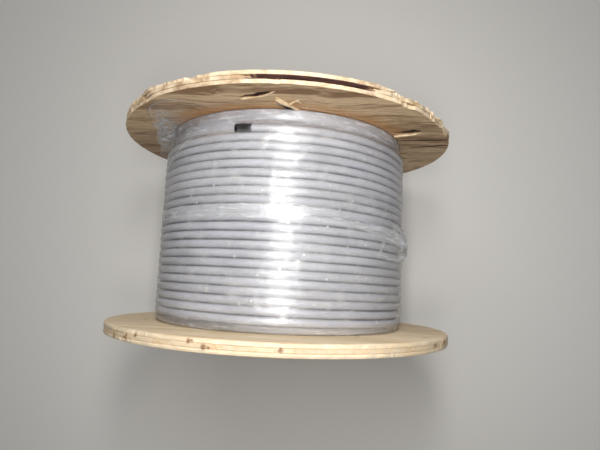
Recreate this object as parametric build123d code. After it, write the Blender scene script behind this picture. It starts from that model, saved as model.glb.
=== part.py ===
"""Plywood cable drum lying on its rims, full of grey cable under clear stretch film.

Two three-ply plywood flanges are clamped on a spiral-wound paper core by three
carriage bolts that run inside it. The core sits in a round groove in each flange.
The frame: +Y is the drum's axis, pointing from the near flange to the far one, and
+Z is up. The origin is on the floor, under the middle of the drum's whole length.
The pieces are drawn about the axis, halfway between the flanges, and lifted at the end.
Clock angles are seen from the near flange: 0 is to the right (+X), 90 is up (+Z).
All sizes are in millimetres and degrees.
"""

from build123d import *
from math import cos, radians, sin, sqrt
import os

# Flanges
FLANGE_DIAMETER = 304.8
PLY_THICKNESS = 3.2
PLY_COUNT = 3
TRAVERSE = 168.0
RIM_EASE = 0.8
ARBOR_DIAMETER = 32.0
CORE_GROOVE_DEPTH = 3.0

# Core tube
CORE_DIAMETER = 101.6
CORE_WALL = 6.4
CORE_CLEARANCE = 0.15

# Tie bolts, their washers and nuts
BOLT_COUNT = 3
BOLT_CIRCLE_RADIUS = 34.0
BOLT_FIRST_CLOCK = 90.0
BOLT_DIAMETER = 6.35
BOLT_HOLE_CLEARANCE = 0.2
BOLT_HEAD_DIAMETER = 15.0
BOLT_HEAD_HEIGHT = 3.6
BOLT_HEAD_EDGE = 0.9
BOLT_NECK_SIDE = 6.8
BOLT_NECK_LENGTH = 4.0
BOLT_TAIL = 2.5
WASHER_DIAMETER = 19.0
WASHER_THICKNESS = 1.6
NUT_ACROSS_FLATS = 11.1
NUT_HEIGHT = 5.5

# Hole that the cable's inner end starts from, in the far flange
START_HOLE_DIAMETER = 14.0
START_HOLE_CLOCK = 205.0

# Winding
CABLE_DIAMETER = 6.8
WINDING_DIAMETER = 224.0
OUTER_LAYER_GAP = 12.4
GROOVE_SHARE = 0.55
END_TURNS = 3
WINDING_CORE_CLEARANCE = 0.1
WINDING_SIDE_CLEARANCE = 0.15

# Tape round the cable's outer end
TAPE_LENGTH = 13.0
TAPE_THICKNESS = 0.35
TAPE_GAP = 0.05
TAPE_CLOCK = 96.0
TAPE_WIDTH = 5.0

# Stretch film round the winding
FILM_THICKNESS = 0.4
FILM_CLEARANCE = 0.15
FILM_SIDE_CLEARANCE = 0.3
FILM_CORNER_RISE = 2.0

# Damage on the far flange's rim: the middle ply's void, and where the outer ply has broken off
VOID_DEPTH = 7.0
VOID_CLOCK = (70.0, 97.0)
VOID_PLY_SHARE = 0.8
BROKEN_DEPTH = 4.5
BROKEN_CLOCK = (25.0, 62.0)
CHIPPED_DEPTH = 1.8
CHIPPED_CLOCK = (104.0, 127.0)
CUT_OVERSHOOT = 1.0

flange_radius = FLANGE_DIAMETER / 2
flange_thickness = PLY_THICKNESS * PLY_COUNT
half_traverse = TRAVERSE / 2
core_radius = CORE_DIAMETER / 2
winding_radius = WINDING_DIAMETER / 2
cable_radius = CABLE_DIAMETER / 2
groove_depth = cable_radius * GROOVE_SHARE
bolt_radius = BOLT_DIAMETER / 2
bolt_hole_radius = bolt_radius + BOLT_HOLE_CLEARANCE
head_end = half_traverse + flange_thickness + BOLT_HEAD_HEIGHT
nut_end = half_traverse + flange_thickness + WASHER_THICKNESS + NUT_HEIGHT + BOLT_TAIL


def turned(points, arc=360.0, start_clock=0.0):
    """Solid turned about the drum's axis from an outline of (radius, y) points, from one clock angle on."""
    face = make_face(Polyline(*points, close=True))
    return at_clock(revolve(face, Axis.Y, revolution_arc=arc), start_clock + arc)


def at_clock(shape, clock):
    """Turns a shape that was drawn to the right of the axis round to a clock angle."""
    return Rot(0, -clock, 0) * shape


def rectangle(inner, outer, low, high):
    """Outline of a ring's section: inner and outer radius, and its two ends along the axis."""
    return [(inner, low), (outer, low), (outer, high), (inner, high)]


def thickened(inside, thickness):
    """Outer side of a thin layer whose inner side is given, in the order that closes its outline."""
    return [(radius + thickness, y) for radius, y in reversed(inside)]


def on_bolt_circle(shape, number):
    """Moves a shape that was drawn on the drum's axis to one of the tie bolts."""
    clock = radians(BOLT_FIRST_CLOCK + number * 360 / BOLT_COUNT)
    return Pos(BOLT_CIRCLE_RADIUS * cos(clock), 0, BOLT_CIRCLE_RADIUS * sin(clock)) * shape


def rod(radius, low, high):
    """Plain round rod on the drum's axis."""
    return turned(rectangle(0, radius, low, high))


def square_bar(side, low, high):
    """Square bar on the drum's axis."""
    return Pos(0, (low + high) / 2, 0) * Box(side, high - low, side)


def plain_flange(inner_face, outward):
    """Plywood disc with its arbor hole, bolt holes, eased rim and the groove for the core.

    inner_face is the y of the face towards the winding, and outward is +1 or -1.
    """
    outer_face = inner_face + outward * flange_thickness
    low, high = sorted((inner_face, outer_face))
    disc = turned(rectangle(ARBOR_DIAMETER / 2, flange_radius, low, high))
    rim_edges = disc.edges().filter_by(GeomType.CIRCLE).filter_by(
        lambda edge: edge.radius > flange_radius - RIM_EASE
    )
    disc = chamfer(rim_edges, RIM_EASE)
    groove = turned(
        rectangle(
            core_radius - CORE_WALL - CORE_CLEARANCE,
            core_radius + CORE_CLEARANCE,
            *sorted((inner_face - outward * CUT_OVERSHOOT, inner_face + outward * CORE_GROOVE_DEPTH)),
        )
    )
    disc -= groove
    hole = rod(bolt_hole_radius, low - CUT_OVERSHOOT, high + CUT_OVERSHOOT)
    for number in range(BOLT_COUNT):
        disc -= on_bolt_circle(hole, number)
    return disc


def near_flange():
    """The sound flange, with the square seats that hold the bolts' necks."""
    flange = plain_flange(-half_traverse, -1)
    outer_face = -half_traverse - flange_thickness
    seat = square_bar(BOLT_NECK_SIDE, outer_face - CUT_OVERSHOOT, outer_face + BOLT_NECK_LENGTH)
    for number in range(BOLT_COUNT):
        flange -= on_bolt_circle(seat, number)
    return flange


def rim_cut(depth, low, high, clocks):
    """Piece to take out of a rim: its depth, its two ends along the axis and its two clock angles."""
    outline = rectangle(flange_radius - depth, flange_radius + CUT_OVERSHOOT, low, high)
    return turned(outline, clocks[1] - clocks[0], clocks[0])


def far_flange():
    """The worn flange: a void in its middle ply, and its outer ply chipped and broken along the rim."""
    flange = plain_flange(half_traverse, 1)
    outer_face = half_traverse + flange_thickness
    outer_ply = outer_face - PLY_THICKNESS
    middle = half_traverse + flange_thickness / 2
    half_void = PLY_THICKNESS * VOID_PLY_SHARE / 2
    flange -= rim_cut(VOID_DEPTH, middle - half_void, middle + half_void, VOID_CLOCK)
    flange -= rim_cut(BROKEN_DEPTH, outer_ply, outer_face + CUT_OVERSHOOT, BROKEN_CLOCK)
    flange -= rim_cut(CHIPPED_DEPTH, outer_ply, outer_face + CUT_OVERSHOOT, CHIPPED_CLOCK)
    start_radius = core_radius + START_HOLE_DIAMETER / 2 + CORE_CLEARANCE
    start_hole = rod(START_HOLE_DIAMETER / 2, half_traverse - CUT_OVERSHOOT, outer_face + CUT_OVERSHOOT)
    flange -= at_clock(Pos(start_radius, 0, 0) * start_hole, START_HOLE_CLOCK)
    return flange


def core_tube():
    """Paper tube that carries the winding, seated in both flanges' grooves."""
    reach = half_traverse + CORE_GROOVE_DEPTH
    return turned(rectangle(core_radius - CORE_WALL, core_radius, -reach, reach))


def turn_centres():
    """The y of each turn in the outer layer, from the near flange on.

    The cable ran out before the layer was full, so its last turn stops short of the far flange.
    """
    last = half_traverse - OUTER_LAYER_GAP - cable_radius
    room = last + cable_radius + half_traverse - WINDING_SIDE_CLEARANCE
    count = int(room / CABLE_DIAMETER)
    return [last - number * CABLE_DIAMETER for number in reversed(range(count))]


def layer_rise():
    """Height from one layer to the next, which lies in its hollows."""
    return CABLE_DIAMETER * sqrt(3) / 2


def turn_ridges(centres, crest_radius):
    """Outline of a layer's turns seen in section: up to each turn's crest and down into the groove past it."""
    hollow_radius = crest_radius - groove_depth
    points = [(hollow_radius, centres[0] - cable_radius)]
    for centre in centres:
        points.append((crest_radius, centre))
        points.append((hollow_radius, centre + cable_radius))
    return points


def cable_winding():
    """The wound cable as one turned solid, with its turns drawn at both ends of the outer layer.

    Between them the outer layer is a plain band at the turns' crests, all of it under the film.
    """
    low = -half_traverse + WINDING_SIDE_CLEARANCE
    high = half_traverse - WINDING_SIDE_CLEARANCE
    bore = core_radius + WINDING_CORE_CLEARANCE
    centres = turn_centres()
    near_turns = turn_ridges(centres[:END_TURNS], winding_radius)
    far_turns = turn_ridges(centres[-END_TURNS:], winding_radius)
    band = [
        (winding_radius, near_turns[-1][1] + cable_radius),
        (winding_radius, far_turns[0][1] - cable_radius),
    ]
    under_layer = turn_ridges([high - cable_radius], winding_radius - layer_rise())
    near_step = (near_turns[0][0], low)
    far_step = (under_layer[0][0], far_turns[-1][1])
    outline = [(bore, low), near_step, *near_turns, *band, *far_turns, far_step, *under_layer, (bore, high)]
    return turned(outline)


def cable_end_tape():
    """Strip of tape over the exposed side of the last turn, where the cable ends."""
    centre = turn_centres()[-1]
    half_width = TAPE_WIDTH / 2
    edge_radius = winding_radius - half_width * GROOVE_SHARE
    inside = [
        (edge_radius + TAPE_GAP, centre - half_width),
        (winding_radius + TAPE_GAP, centre),
        (edge_radius + TAPE_GAP, centre + half_width),
    ]
    arc = TAPE_LENGTH / (radians(1) * winding_radius)
    return turned(inside + thickened(inside, TAPE_THICKNESS), arc, TAPE_CLOCK)


def stretch_film():
    """Clear film pulled round the winding.

    It steps over the taped turn and then drops towards the far flange, where the outer layer is missing.
    """
    low = -half_traverse + FILM_SIDE_CLEARANCE
    high = half_traverse - FILM_SIDE_CLEARANCE
    over_turns = winding_radius + FILM_CLEARANCE
    over_tape = over_turns + TAPE_GAP + TAPE_THICKNESS
    in_corner = winding_radius - layer_rise() + FILM_CLEARANCE + FILM_CORNER_RISE
    last = turn_centres()[-1]
    inside = [
        (over_turns, low),
        (over_turns, last - CABLE_DIAMETER),
        (over_tape, last),
        (in_corner, high),
    ]
    return turned(inside + thickened(inside, FILM_THICKNESS))


def tie_bolt(number):
    """Carriage bolt: domed head on the near flange, square neck, and a shank to the nut."""
    face = -half_traverse - flange_thickness
    head_radius = BOLT_HEAD_DIAMETER / 2
    rim = (head_radius, face - BOLT_HEAD_EDGE)
    crown = (0, -head_end)
    dome = [
        Line((0, face), (head_radius, face)),
        Line((head_radius, face), rim),
        TangentArc(crown, rim, tangent=(1, 0)),
        Line(crown, (0, face)),
    ]
    bolt = revolve(make_face(Wire(dome)), Axis.Y)
    bolt += square_bar(BOLT_NECK_SIDE, face, face + BOLT_NECK_LENGTH)
    bolt += rod(bolt_radius, face, nut_end)
    return on_bolt_circle(bolt, number)


def washer(number):
    """Flat washer under the nut, on the far flange."""
    outer_face = half_traverse + flange_thickness
    ring = rectangle(bolt_hole_radius, WASHER_DIAMETER / 2, outer_face, outer_face + WASHER_THICKNESS)
    return on_bolt_circle(turned(ring), number)


def nut(number):
    """Hexagon nut that pulls the flanges together."""
    seat = half_traverse + flange_thickness + WASHER_THICKNESS
    hexagon = extrude(RegularPolygon(NUT_ACROSS_FLATS / 2, 6, major_radius=False), NUT_HEIGHT)
    body = Pos(0, seat, 0) * Rot(-90, 0, 0) * hexagon
    body -= rod(bolt_radius, seat - CUT_OVERSHOOT, seat + NUT_HEIGHT + CUT_OVERSHOOT)
    return on_bolt_circle(body, number)


def pieces():
    """Every separate piece of the drum, by its name."""
    found = {
        "near_flange": near_flange(),
        "far_flange": far_flange(),
        "core_tube": core_tube(),
        "cable_winding": cable_winding(),
        "cable_end_tape": cable_end_tape(),
        "stretch_film": stretch_film(),
    }
    for number in range(BOLT_COUNT):
        found[f"tie_bolt_{number + 1}"] = tie_bolt(number)
        found[f"washer_{number + 1}"] = washer(number)
        found[f"nut_{number + 1}"] = nut(number)
    return found


on_floor = Pos(0, (head_end - nut_end) / 2, flange_radius)
os.makedirs("parts", exist_ok=True)
for name, shape in pieces().items():
    export_step(on_floor * shape, f"parts/{name}.step")
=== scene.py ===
import math

import bmesh
import bpy
from mathutils import Matrix, Vector, noise


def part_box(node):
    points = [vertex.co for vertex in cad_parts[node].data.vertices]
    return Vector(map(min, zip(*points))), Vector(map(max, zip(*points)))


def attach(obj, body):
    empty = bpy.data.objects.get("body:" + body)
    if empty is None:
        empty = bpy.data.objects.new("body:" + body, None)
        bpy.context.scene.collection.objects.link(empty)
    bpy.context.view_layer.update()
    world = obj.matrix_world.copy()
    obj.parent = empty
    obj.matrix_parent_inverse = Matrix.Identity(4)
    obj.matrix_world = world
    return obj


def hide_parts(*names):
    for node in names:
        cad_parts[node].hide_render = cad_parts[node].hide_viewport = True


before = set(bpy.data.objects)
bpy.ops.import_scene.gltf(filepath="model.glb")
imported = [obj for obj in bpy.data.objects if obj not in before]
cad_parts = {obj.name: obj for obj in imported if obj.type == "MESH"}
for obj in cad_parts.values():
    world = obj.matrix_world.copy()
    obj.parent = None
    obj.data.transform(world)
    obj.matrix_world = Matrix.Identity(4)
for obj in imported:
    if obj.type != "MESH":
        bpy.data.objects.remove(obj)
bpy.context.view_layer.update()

# Core tube
# Spiral-wound paper tube that carries the winding, glued up from kraft board strips about 100 mm wide.
# It sits in a round groove in each flange, so only its inside shows, through the arbor holes.

MM = 0.001
near_low, near_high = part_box("near_flange")
far_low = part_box("far_flange")[0]
flange_radius = (near_high.z - near_low.z) / 2
axis_height = (near_high.z + near_low.z) / 2
half_traverse = (far_low.y - near_high.y) / 2
drum_middle = Vector((0, (far_low.y + near_high.y) / 2, axis_height))
# Sockets go by number where several have one name, and these are a colour Mix node's. A Map Range node reads
# the range 1 to 2 and gives the range 3 to 4, which is 0 to 1 where nothing is set.
MIX_FACTOR, MIX_A, MIX_B, MIX_COLOUR = 0, 6, 7, 2


def colour(code):
    """Linear colour of an sRGB hex value."""
    parts = [int(code[i:i + 2], 16) / 255 for i in (1, 3, 5)]
    return (*[c / 12.92 if c <= 0.04045 else ((c + 0.055) / 1.055) ** 2.4 for c in parts], 1)


def add(tree, kind, inputs=None, stops=(), **settings):
    """Adds a node with its settings, and gives its inputs a link or a value each."""
    node = tree.nodes.new("ShaderNode" + kind)
    for setting, value in settings.items():
        setattr(node, setting, value)
    for socket, value in (inputs or {}).items():
        if isinstance(value, bpy.types.NodeSocket):
            tree.links.new(value, node.inputs[socket])
        else:
            node.inputs[socket].default_value = value
    for place, (position, code) in enumerate(stops):
        if place > 1:
            node.color_ramp.elements.new(position)
        node.color_ramp.elements[place].position = position
        node.color_ramp.elements[place].color = colour(code)
    return node


def new_material(name):
    """Empty material with its shader, its output and its coordinates from the drum's middle."""
    material = bpy.data.materials.new(name)
    material.use_nodes = True
    tree = material.node_tree
    tree.nodes.clear()
    shader = add(tree, "BsdfPrincipled")
    add(tree, "OutputMaterial", {"Surface": shader.outputs[0]})
    place = add(tree, "TexCoord").outputs["Object"]
    place = add(tree, "Mapping", {"Vector": place, "Location": -drum_middle}).outputs[0]
    return material, tree, shader, place


def give(node, material):
    """Puts one material on a CAD node."""
    node.data.materials.clear()
    node.data.materials.append(material)


# Kraft board: the eye sees long brown fibres, and a seam that climbs once every strip width.
STRIP_WIDTH = 100 * MM
SEAM_WIDTH = 1.5 * MM
FIBRE_LENGTH = 6 * MM
FIBRE_RELIEF = 0.2 * MM

kraft, tree, shader, place = new_material("spiral_wound_kraft_board")
split = add(tree, "SeparateXYZ", {0: place})
clock = add(tree, "Math", {0: split.outputs[2], 1: split.outputs[0]}, operation="ARCTAN2").outputs[0]
turns = add(tree, "Math", {0: clock, 1: 2 * math.pi}, operation="DIVIDE").outputs[0]
strips = add(tree, "Math", {0: split.outputs[1], 1: STRIP_WIDTH}, operation="DIVIDE").outputs[0]
climb = add(tree, "Math", {0: strips, 1: turns}, operation="ADD").outputs[0]
seam = add(tree, "Math", {0: climb}, operation="FRACT").outputs[0]
fibres = add(tree, "TexNoise", {"Vector": place, "Scale": 1 / FIBRE_LENGTH, "Detail": 6, "Roughness": 0.7})
board = add(tree, "ValToRGB", {0: fibres.outputs[0]}, stops=[(0.3, "#8A6A45"), (0.7, "#B08E63")])
edge = add(tree, "MapRange", {0: seam, 1: 1 - SEAM_WIDTH / STRIP_WIDTH, 2: 1.0})
seamed = add(
    tree,
    "Mix",
    {MIX_FACTOR: edge.outputs[0], MIX_A: board.outputs[0], MIX_B: colour("#5F452B")},
    data_type="RGBA",
)
bump = add(tree, "Bump", {"Height": fibres.outputs[0], "Strength": 0.4, "Distance": FIBRE_RELIEF})
tree.links.new(seamed.outputs[MIX_COLOUR], shader.inputs["Base Color"])
tree.links.new(bump.outputs[0], shader.inputs["Normal"])
shader.inputs["Roughness"].default_value = 0.85
give(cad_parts["core_tube"], kraft)

# Flanges
# Discs of three-ply poplar plywood, 9.6 mm thick, cut out with a router and never sealed.
# The two face veneers run across the drum, and the middle ply runs up and down.

PLY_COUNT = 3
ply_thickness = (near_high.y - near_low.y) / PLY_COUNT
ARBOR_RADIUS = 16 * MM
DISC_STEPS = 480
FACE_RINGS = 40
BACK_RINGS = 8
# Both edges of the near flange were sanded round, and every other edge of a ply is nearly sharp. The middle
# point of a rounded edge lies this share of its radius in from both faces.
SANDED_EDGE = 1.7 * MM
SHARP_EDGE = 0.5 * MM
ROUND_MIDDLE = 0.3
# A bite out of the rim fades away over this band of the disc, and over these degrees at both of its ends.
EDGE_BAND = 22 * MM
BITE_ENDS = 8
SAW_MARKS = 0.12 * MM


def at_clock(radius, degrees, y):
    """Point at a clock angle round the axis: 0 is to the right, 90 is up."""
    turn = math.radians(degrees)
    return drum_middle + Vector((radius * math.cos(turn), y, radius * math.sin(turn)))


def clock_and_radius(point):
    """Clock angle in degrees and distance from the axis."""
    x, z = point.x - drum_middle.x, point.z - drum_middle.z
    return math.degrees(math.atan2(z, x)), math.hypot(x, z)


def set_radius(vert, radius):
    """Moves a vertex straight out from the axis or in to it, to this distance."""
    shift = radius / clock_and_radius(vert.co)[1]
    vert.co.x = drum_middle.x + (vert.co.x - drum_middle.x) * shift
    vert.co.z = drum_middle.z + (vert.co.z - drum_middle.z) * shift


def spun(profile, steps, closed=True):
    """Mesh of a profile of (radius, y) points, turned right round the axis."""
    bm = bmesh.new()
    verts = [bm.verts.new(at_clock(radius, 0, y)) for radius, y in profile]
    pairs = list(zip(verts, verts[1:] + verts[:1])) if closed else list(zip(verts, verts[1:]))
    edges = [bm.edges.new(pair) for pair in pairs]
    bmesh.ops.spin(
        bm,
        geom=verts + edges,
        cent=drum_middle,
        axis=(0, -1, 0),
        angle=2 * math.pi,
        steps=steps,
        use_merge=True,
    )
    bmesh.ops.recalc_face_normals(bm, faces=bm.faces)
    return bm


def eased(value, low, high):
    """Smooth step from 0 at low to 1 at high."""
    share = min(max((value - low) / (high - low), 0), 1)
    return share * share * (3 - 2 * share)


def bite_depth(degrees, bites, seed):
    """How far a ply's rim has broken back at a clock angle: ragged by the degree, and finer within it."""
    depth = 0
    for first, last, deep, ragged in bites:
        past = (degrees - first) % 360
        ramp = min(BITE_ENDS, (last - first) / 4)
        inside = eased(past, 0, ramp) * (1 - eased(past, last - first - ramp, last - first))
        rough = noise.noise(Vector((degrees * 0.9, seed, deep * 300)))
        fine = noise.noise(Vector((degrees * 3.1, seed, 7)))
        depth = max(depth, inside * deep * (1 + ragged * (rough + 0.5 * fine)))
    return depth


def ply_disc(low, high, rings, bites, seed, ease_low=SHARP_EDGE, ease_high=SHARP_EDGE, rim_rows=1):
    """One ply as a closed disc with its arbor hole, its rim broken back by the bites and made in rows."""
    profile = []
    for y, ease, inwards in ((low, ease_low, 1), (high, ease_high, -1)):
        reach = flange_radius - ease - ARBOR_RADIUS
        edge = [(ARBOR_RADIUS + reach * k / rings, y) for k in range(rings + 1)]
        off = ease * ROUND_MIDDLE
        edge += [(flange_radius - off, y + inwards * off), (flange_radius, y + inwards * ease)]
        profile += edge[::inwards]
        if inwards == 1:
            profile += [(flange_radius, low + (high - low) * k / rim_rows) for k in range(1, rim_rows)]
    bm = spun(profile, DISC_STEPS)
    for vert in bm.verts:
        degrees, radius = clock_and_radius(vert.co)
        band = max(0, (radius - flange_radius + EDGE_BAND) / EDGE_BAND)
        back = bite_depth(degrees, bites, seed)
        back += SAW_MARKS * (1 + noise.noise(Vector((degrees * 1.3, vert.co.y * 900, seed))))
        set_radius(vert, radius - back * band)
    return bm


def finished(name, meshes, *materials, smooth=False):
    """Joins bmeshes into one piece of the drum, with its materials, and makes it ride."""
    mesh = bpy.data.meshes.new(name)
    whole = bmesh.new()
    for part in meshes:
        part.to_mesh(mesh)
        whole.from_mesh(mesh)
        part.free()
    mesh.clear_geometry()
    for material in materials:
        mesh.materials.append(material)
    if smooth:
        for face in whole.faces:
            face.smooth = True
    whole.to_mesh(mesh)
    whole.free()
    piece = bpy.data.objects.new(name, mesh)
    bpy.context.scene.collection.objects.link(piece)
    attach(piece, "root")
    return piece


# Poplar plywood, rotary cut and sanded: broad pale figure drawn out along the grain, fine darker streaks,
# a browner middle ply, thin dark glue lines, and a rough rim that shows end grain where the grain meets it.
WAVE_LENGTH = 55 * MM
WAVE_HEIGHT = 21 * MM
FIGURE_WIDTH = 16 * MM
STREAK_WIDTH = 2.4 * MM
PORE_WIDTH = 1.1 * MM
WORN_PATCH = 9 * MM
GRAIN_RELIEF = 0.25 * MM
GLUE_LINE = 0.35 * MM
GLUE_BROWN = "#4A3320"
PIN_KNOT_SPACING = 38 * MM
PIN_KNOT_RADIUS = 2.85 * MM
PIN_KNOT_HEART = 1.14 * MM
KNOT_EDGE = 1.6 * MM
KNOT_RAGGED = 2.4 * MM
KNOT_BROWN = "#7A5230"
# A stain fades in before its first clock angle and out after its last one, over these angles in radians.
STAIN_RAGGED = 14 * MM
STAIN_SHOWS = 0.75
STAIN_FADES_IN, STAIN_FADES_OUT = 0.2, 0.3


def veneer(tree, place, turn, pale, tan):
    """Colour of a veneer whose grain lies this many degrees from level."""
    grain = add(tree, "Mapping", {"Vector": place, "Rotation": (0, math.radians(turn), 0)}).outputs[0]
    wave = add(tree, "TexNoise", {"Vector": grain, "Scale": 1 / WAVE_LENGTH, "Detail": 2}).outputs["Color"]
    wave = add(tree, "VectorMath", {0: wave, 3: WAVE_HEIGHT}, operation="SCALE").outputs[0]
    grain = add(tree, "VectorMath", {0: grain, 1: wave}, operation="ADD").outputs[0]
    grain = add(tree, "Mapping", {"Vector": grain, "Scale": (0.07, 1, 1)}).outputs[0]
    figure = add(
        tree, "TexNoise", {"Vector": grain, "Scale": 1 / FIGURE_WIDTH, "Detail": 3, "Distortion": 0.7}
    ).outputs[0]
    streaks = add(
        tree, "TexNoise", {"Vector": grain, "Scale": 1 / STREAK_WIDTH, "Detail": 4, "Roughness": 0.65}
    ).outputs[0]
    both = add(tree, "Math", {0: figure, 1: streaks}, operation="ADD").outputs[0]
    half = add(tree, "Math", {0: both, 1: 0.5}, operation="MULTIPLY").outputs[0]
    return add(tree, "ValToRGB", {0: half}, stops=[(0.41, tan), (0.57, pale)]).outputs[0]


def knots_show(tree, place, flange_middle, knots):
    """How dark knots are at a place: pin knots everywhere, and a flange's own knots on its rim."""
    spots = add(tree, "TexVoronoi", {"Vector": place, "Scale": 1 / PIN_KNOT_SPACING}).outputs["Distance"]
    rim, heart = PIN_KNOT_RADIUS / PIN_KNOT_SPACING, PIN_KNOT_HEART / PIN_KNOT_SPACING
    darkest = add(tree, "MapRange", {0: spots, 1: rim, 2: heart, 4: 0.8}).outputs[0]
    ragged = add(tree, "TexNoise", {"Vector": place, "Scale": 1 / KNOT_EDGE, "Detail": 2}).outputs["Color"]
    ragged = add(tree, "VectorMath", {0: ragged, 3: KNOT_RAGGED}, operation="SCALE").outputs[0]
    ragged = add(tree, "VectorMath", {0: place, 1: ragged}, operation="ADD").outputs[0]
    for clock, across, size in knots:
        knot = at_clock(flange_radius, clock, flange_middle + across * MM) - drum_middle
        knot += Vector((KNOT_RAGGED, KNOT_RAGGED, KNOT_RAGGED)) / 2
        off = add(tree, "VectorMath", {0: ragged, 1: knot}, operation="DISTANCE").outputs["Value"]
        dark = add(tree, "MapRange", {0: off, 1: size * MM, 2: size * MM * 0.4, 4: 0.85}).outputs[0]
        darkest = add(tree, "Math", {0: darkest, 1: dark}, operation="MAXIMUM").outputs[0]
    return darkest


def stain_shows(tree, split, patch, flange_middle, full_to, ends_at, first, last):
    """How strong a stain is: on the inner face, out to a ragged edge, and between two clock angles."""
    flat = add(tree, "CombineXYZ", {0: split.outputs[0], 2: split.outputs[2]}).outputs[0]
    radius = add(tree, "VectorMath", {0: flat}, operation="LENGTH").outputs["Value"]
    ragged = add(tree, "Math", {0: patch, 1: STAIN_RAGGED}, operation="MULTIPLY").outputs[0]
    radius = add(tree, "Math", {0: radius, 1: ragged}, operation="SUBTRACT").outputs[0]
    clock = add(tree, "Math", {0: split.outputs[2], 1: split.outputs[0]}, operation="ARCTAN2").outputs[0]
    first, last = math.radians(first), math.radians(last)
    shows = STAIN_SHOWS
    for value, none, full in (
        (radius, ends_at, full_to),
        (split.outputs[1], flange_middle, flange_middle - MM),
        (clock, first - STAIN_FADES_IN, first),
        (clock, last + STAIN_FADES_OUT, last),
    ):
        within = add(tree, "MapRange", {0: value, 1: none, 2: full}).outputs[0]
        shows = add(tree, "Math", {0: within, 1: shows}, operation="MULTIPLY").outputs[0]
    return shows


def plywood(name, flange_middle, pale, tan, core, rim, glue_shows, knots=(), stain=None):
    """Plywood of one flange, from its colours, how far its glue lines show, its knots and its stain."""
    material, tree, shader, place = new_material(name)
    split = add(tree, "SeparateXYZ", {0: place})
    depth = add(tree, "Math", {0: split.outputs[1], 1: flange_middle}, operation="SUBTRACT").outputs[0]
    depth = add(tree, "Math", {0: depth}, operation="ABSOLUTE").outputs[0]
    middle = add(tree, "MapRange", {0: depth, 1: ply_thickness * 0.52, 2: ply_thickness * 0.48}).outputs[0]
    faces, centre = veneer(tree, place, 0, pale, tan), veneer(tree, place, 90, *core)
    wood = add(tree, "Mix", {MIX_FACTOR: middle, MIX_A: faces, MIX_B: centre}, data_type="RGBA")
    fine = add(tree, "Mapping", {"Vector": place, "Scale": (0.1, 1, 1)}).outputs[0]
    pores = add(tree, "TexNoise", {"Vector": fine, "Scale": 1 / PORE_WIDTH, "Detail": 2}).outputs[0]
    pore = add(tree, "MapRange", {0: pores, 1: 0.60, 2: 0.72, 4: 0.45}).outputs[0]
    facing = add(tree, "SeparateXYZ", {0: add(tree, "NewGeometry").outputs["Normal"]}).outputs[1]
    facing = add(tree, "Math", {0: facing}, operation="ABSOLUTE").outputs[0]
    on_rim = add(tree, "MapRange", {0: facing, 1: 0.8, 2: 0.4}).outputs[0]
    patch = add(tree, "TexNoise", {"Vector": place, "Scale": 1 / WORN_PATCH, "Detail": 4}).outputs[0]
    worn = add(tree, "MapRange", {0: patch, 1: 0.38, 2: 0.62, 3: 0.2, 4: 0.9}).outputs[0]
    worn = add(tree, "Math", {0: worn, 1: on_rim}, operation="MULTIPLY").outputs[0]
    line = add(tree, "Math", {0: depth, 1: ply_thickness / 2}, operation="SUBTRACT").outputs[0]
    line = add(tree, "Math", {0: line}, operation="ABSOLUTE").outputs[0]
    glue = add(tree, "MapRange", {0: line, 1: GLUE_LINE, 2: 0, 4: glue_shows}).outputs[0]
    glue = add(tree, "Math", {0: glue, 1: on_rim}, operation="MULTIPLY").outputs[0]
    knot = knots_show(tree, place, flange_middle, knots)
    marks = [(pore, core[1]), (worn, rim), (glue, GLUE_BROWN), (knot, KNOT_BROWN)]
    if stain:
        marks.append((stain_shows(tree, split, patch, flange_middle, *stain[:-1]), stain[-1]))
    for shows, code in marks:
        under = wood.outputs[MIX_COLOUR]
        wood = add(tree, "Mix", {MIX_FACTOR: shows, MIX_A: under, MIX_B: colour(code)}, data_type="RGBA")
    relief = add(tree, "Math", {0: pores, 1: patch}, operation="ADD").outputs[0]
    bump = add(tree, "Bump", {"Height": relief, "Strength": 0.5, "Distance": GRAIN_RELIEF})
    tree.links.new(wood.outputs[MIX_COLOUR], shader.inputs["Base Color"])
    tree.links.new(bump.outputs[0], shader.inputs["Normal"])
    shader.inputs["Roughness"].default_value = 0.68
    return material


# Broken poplar, never sanded: painted near black down in a split and purple-brown in the void in the middle
# ply, both as painted shade, and pale and stringy where veneer has just torn off.
STRING_RELIEF = 0.4 * MM


def broken_wood_and_shade(name, light, dark):
    """Two tones of raw broken wood, or of painted shade down in a split or void, with short fibres along the
    veneer's grain.
    """
    material, tree, shader, place = new_material(name)
    strings = add(tree, "Mapping", {"Vector": place, "Scale": (0.15, 1, 1)}).outputs[0]
    strings = add(tree, "TexNoise", {"Vector": strings, "Scale": 1 / STREAK_WIDTH, "Detail": 4}).outputs[0]
    wood = add(tree, "ValToRGB", {0: strings}, stops=[(0.35, dark), (0.62, light)])
    bump = add(tree, "Bump", {"Height": strings, "Strength": 0.7, "Distance": STRING_RELIEF})
    tree.links.new(wood.outputs[0], shader.inputs["Base Color"])
    tree.links.new(bump.outputs[0], shader.inputs["Normal"])
    shader.inputs["Roughness"].default_value = 0.8
    return material
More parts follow.
